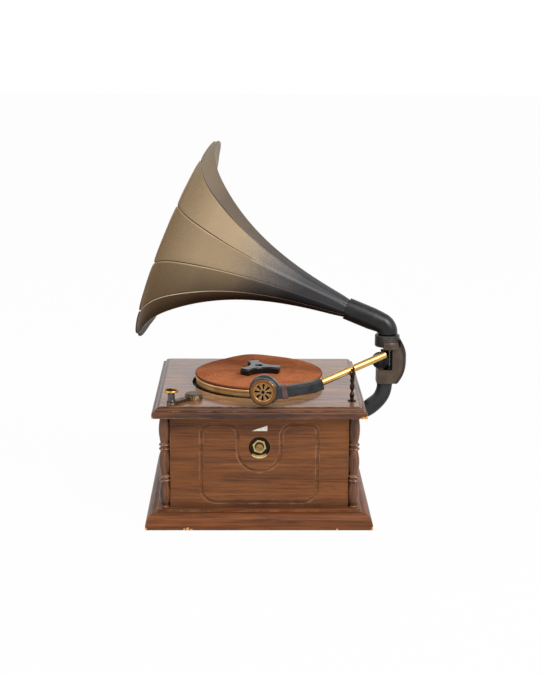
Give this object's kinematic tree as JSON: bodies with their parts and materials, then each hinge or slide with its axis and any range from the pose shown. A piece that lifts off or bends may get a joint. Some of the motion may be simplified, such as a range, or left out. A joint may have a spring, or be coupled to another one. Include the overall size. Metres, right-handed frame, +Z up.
{
  "type": "record player",
  "caption": "Small wooden record player styled as a horn gramophone: square cabinet, turntable, brass tone arm and a petalled horn on a side bracket.",
  "frame": {"origin": "on the table, under the middle of the square cabinet", "axes": "+X to the right seen from the front, +Y to the back, +Z up"},
  "size_m": [0.2183, 0.18, 0.2993],
  "materials": {
    "oak": "satin stained wood, worn edges",
    "dark_oak": "satin dark stained wood",
    "deck_oak": "polished stained wood",
    "plywood": "bare",
    "steel": "plain",
    "pale_brass": "turned",
    "old_brass": "dulled",
    "bright_brass": "polished",
    "copper_brass": "polished",
    "felt": "felt",
    "gloss_black": "gloss",
    "black_casting": "semi-gloss",
    "slate_black": "semi-gloss",
    "dark_bronze": "semi-gloss bronze",
    "horn_bronze": "satin bronze",
    "brown_band": "gloss",
    "black_plastic": "matte",
    "belt_rubber": "matte",
    "board_green": "lacquered board",
    "cell_skin": "plain wrapped"
  },
  "bodies": {
    "cabinet": {"base_moulding": "oak", "bottom_panel": "plywood", "bottom_screws": "steel", "front_wall": "oak", "back_wall": "oak", "left_wall": "oak", "right_wall": "oak", "corner_columns": "dark_oak", "corner_blocks": "plywood", "top_board": "deck_oak", "volume_pot": "steel", "volume_washer": "steel", "volume_nut": "pale_brass", "spindle_bush": "pale_brass", "drive_belt": "belt_rubber", "motor_bracket": "steel", "drive_motor": "steel", "power_switch": "black_plastic", "arm_rest_post": "dark_bronze", "bracket_arm": "black_casting", "bracket_screws": "steel", "bracket_head": "dark_bronze", "horn_collar": "dark_bronze", "pivot_pin": "steel", "loudspeaker": "black_plastic", "speaker_screws": "steel", "circuit_board": "board_green", "battery_box": "black_plastic", "battery_cells": "cell_skin"},
    "volume_control": {"volume_shaft": "pale_brass"},
    "turntable": {"spindle": "steel", "platter": "old_brass", "felt_mat": "felt", "record_clamp": "gloss_black", "drive_pulley": "black_plastic", "spindle_clip": "steel"},
    "motor_rotor": {"motor_shaft": "steel", "motor_pulley": "old_brass"},
    "switch_lever": {"lever_arm": "dark_bronze", "lever_knob": "old_brass", "lever_shaft": "steel"},
    "arm_pivot": {"arm_swivel": "black_casting"},
    "tone_arm": {"arm_hub": "black_casting", "lift_nut": "steel", "tone_tube": "bright_brass", "arm_section": "slate_black", "arm_band": "brown_band", "reproducer_case": "gloss_black", "reproducer_face": "copper_brass", "diaphragm": "steel"},
    "horn_assembly": {"horn_elbow": "gloss_black", "horn": "horn_bronze"}
  },
  "joints": [
    {"name": "volume_turn", "type": "hinge", "parent": "cabinet", "child": "volume_control", "pos_m": [0, -0.074, 0.0641], "axis": [0, -1, 0], "range_deg": [-150, 150]},
    {"name": "platter_spin", "type": "hinge", "parent": "cabinet", "child": "turntable", "pos_m": [0, 0, 0.09], "axis": [0, 0, 1], "continuous": true},
    {"name": "motor_spin", "type": "hinge", "parent": "cabinet", "child": "motor_rotor", "pos_m": [0.03604, 0.02524, 0.08], "axis": [0, 0, 1], "continuous": true},
    {"name": "lever_swing", "type": "hinge", "parent": "cabinet", "child": "switch_lever", "pos_m": [-0.0525, -0.0541, 0.0982], "axis": [0, 0, 1], "range_deg": [-45, 20]},
    {"name": "arm_swing", "type": "hinge", "parent": "cabinet", "child": "arm_pivot", "pos_m": [0.1029, -0.03, 0.126], "axis": [0, 0, -1], "range_deg": [0, 25]},
    {"name": "arm_lift", "type": "hinge", "parent": "arm_pivot", "child": "tone_arm", "pos_m": [0.0972, -0.039, 0.126], "axis": [0, 1, 0], "range_deg": [0, 15]},
    {"name": "horn_swivel", "type": "hinge", "parent": "cabinet", "child": "horn_assembly", "pos_m": [0.1034, -0.03, 0.14], "axis": [0, 0, 1], "range_deg": [-30, 30]}
  ],
  "couplings": [
    {"joint": "motor_spin", "follows": "platter_spin", "ratio": 6.7971},
    {"joint": "arm_lift", "follows": "arm_swing", "ratio": 0.6}
  ]
}
